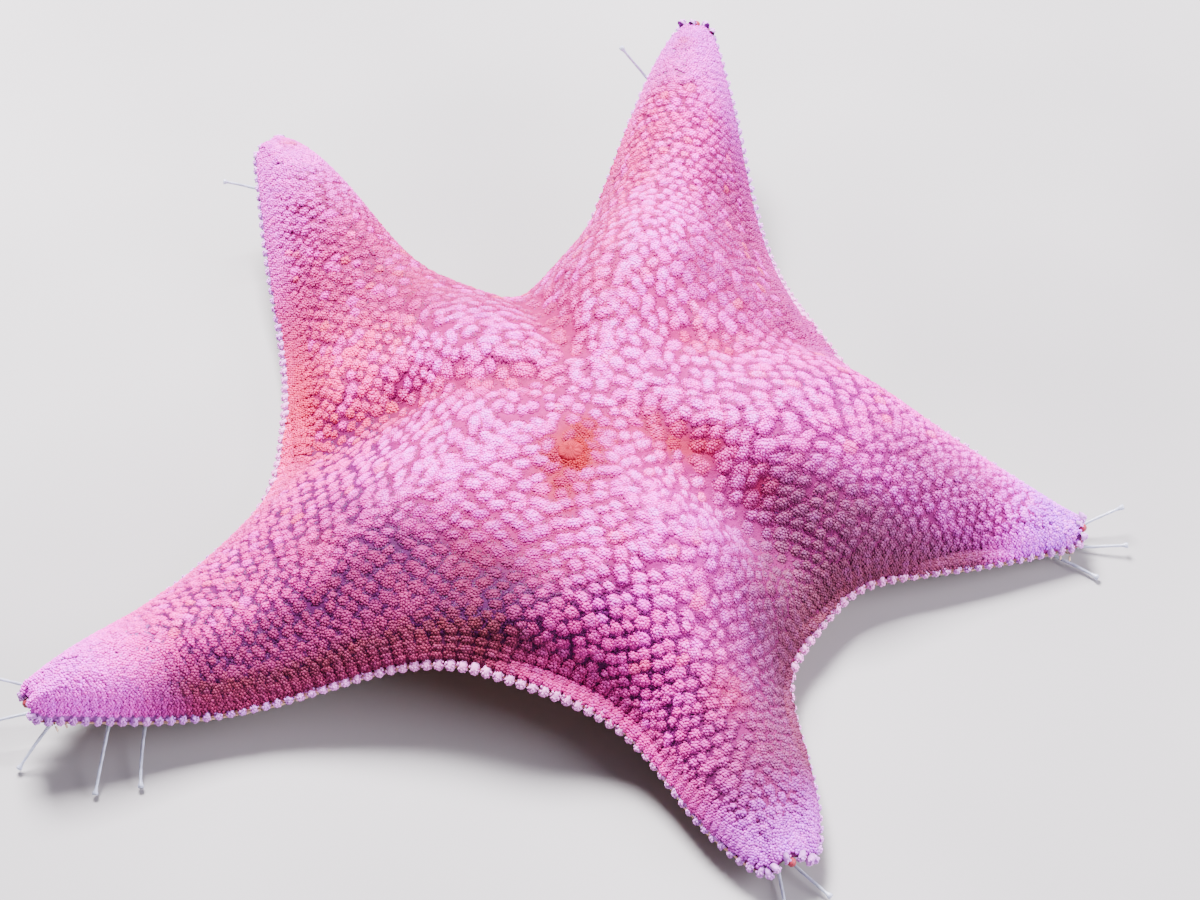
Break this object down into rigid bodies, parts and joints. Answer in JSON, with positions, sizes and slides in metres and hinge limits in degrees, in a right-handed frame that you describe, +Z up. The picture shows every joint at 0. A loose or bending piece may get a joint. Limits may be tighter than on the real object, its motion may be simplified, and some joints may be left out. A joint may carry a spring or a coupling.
{
  "type": "bat star",
  "caption": "Life-size bat star with short webbed arms, plated granular back, beaded margin, tube feet in grooves below and feelers at the arm tips",
  "frame": {"origin": "on the floor under the middle of the bounding box", "axes": "+X to the animal's right-hand arm as seen from the front, its longest extent; +Z up through the back, its shortest extent; -Y towards the viewer"},
  "size_m": [0.1834, 0.1716, 0.0317],
  "materials": {
    "disc_skin": "granular, damp satin",
    "arm_skin": "granular, damp satin",
    "tube_feet": "wet, half clear",
    "eyespot": "satin",
    "sieve_plate": "fine grooves, matt",
    "mouth_skin": "damp",
    "jaw": "matt"
  },
  "bodies": {
    "root": {"disc": "disc_skin", "arm_right": "arm_skin", "arm_back": "arm_skin", "arm_back_left": "arm_skin", "arm_left": "arm_skin", "arm_front": "arm_skin", "tube_feet_right": "tube_feet", "tube_feet_back": "tube_feet", "tube_feet_back_left": "tube_feet", "tube_feet_left": "tube_feet", "tube_feet_front": "tube_feet", "eyespot_right": "eyespot", "eyespot_back": "eyespot", "eyespot_back_left": "eyespot", "eyespot_left": "eyespot", "eyespot_front": "eyespot", "madreporite": "sieve_plate", "mouth": "mouth_skin", "jaw_right": "jaw", "jaw_back": "jaw", "jaw_back_left": "jaw", "jaw_left": "jaw", "jaw_front": "jaw"}
  },
  "joints": []
}
